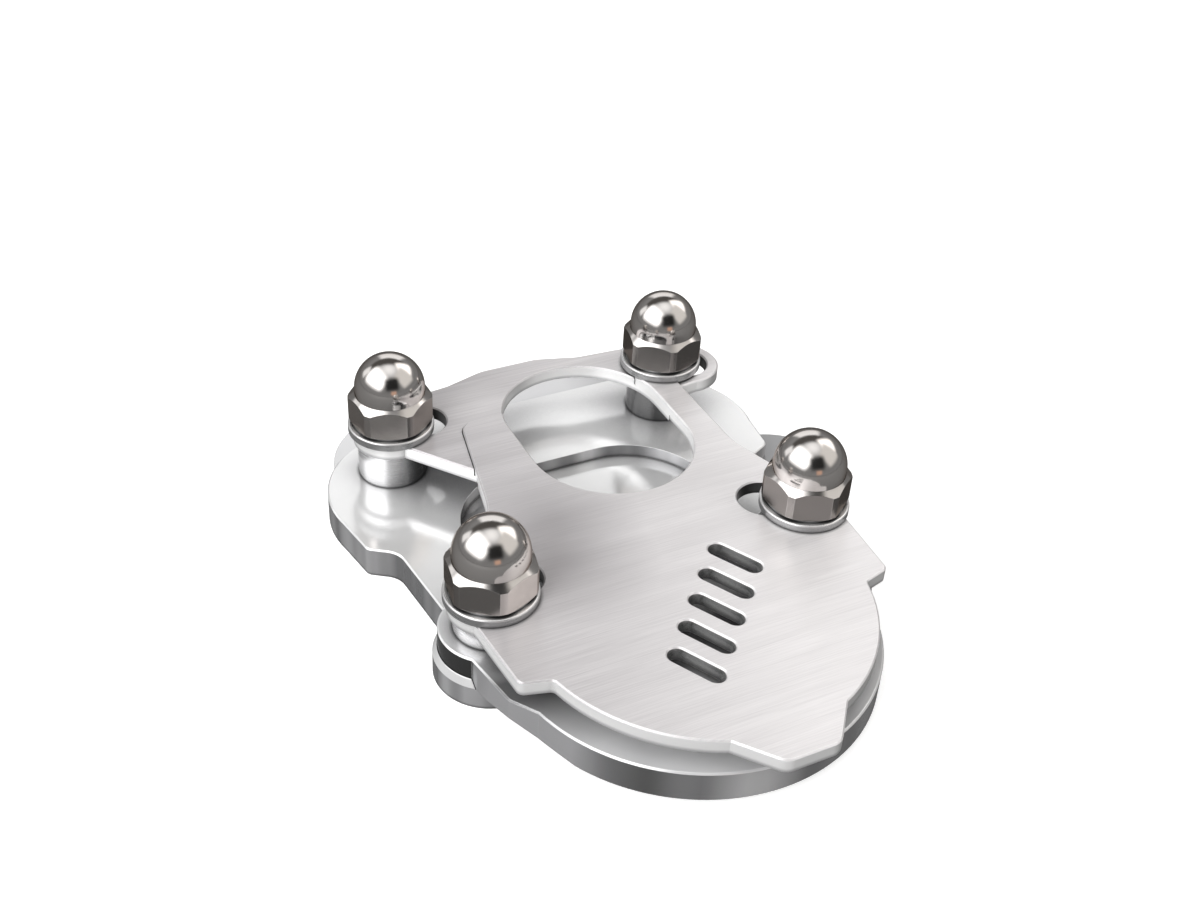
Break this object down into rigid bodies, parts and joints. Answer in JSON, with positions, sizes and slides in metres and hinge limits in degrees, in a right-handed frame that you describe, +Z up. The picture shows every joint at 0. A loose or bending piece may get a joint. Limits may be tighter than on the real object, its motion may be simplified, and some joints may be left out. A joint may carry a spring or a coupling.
{
  "type": "kickstand foot enlarger",
  "caption": "Clamp-on plate that widens a motorcycle side stand's foot: polished base, brushed clamp plates round an open throat, spacers and domed nuts on countersunk bolts.",
  "frame": {"origin": "middle of the four bolts in plan, on the ground plane under the base plate", "axes": "+Z up along the bolts, +Y from the nose to the rear of the base, +X to the right"},
  "size_m": [0.0901, 0.1151, 0.0293],
  "materials": {
    "polished_base": "polished",
    "brushed_plate": "brushed",
    "polished_nut": "polished",
    "bright_washer": "bright",
    "spacer_steel": "turned",
    "bolt_steel": "plain"
  },
  "bodies": {
    "root": {"base_plate": "polished_base", "front_riser": "polished_base", "front_clamp_plate": "brushed_plate", "rear_clamp_plate": "brushed_plate", "front_left_acorn_nut": "polished_nut", "front_left_flat_washer": "bright_washer", "front_left_lock_washer": "bright_washer", "front_left_spacer": "spacer_steel", "front_left_clamp_bolt": "bolt_steel", "front_right_acorn_nut": "polished_nut", "front_right_flat_washer": "bright_washer", "front_right_lock_washer": "bright_washer", "front_right_spacer": "spacer_steel", "front_right_clamp_bolt": "bolt_steel", "rear_left_acorn_nut": "polished_nut", "rear_left_flat_washer": "bright_washer", "rear_left_lock_washer": "bright_washer", "rear_left_spacer": "spacer_steel", "rear_left_clamp_bolt": "bolt_steel", "rear_right_acorn_nut": "polished_nut", "rear_right_flat_washer": "bright_washer", "rear_right_lock_washer": "bright_washer", "rear_right_spacer": "spacer_steel", "rear_right_clamp_bolt": "bolt_steel"}
  },
  "joints": []
}
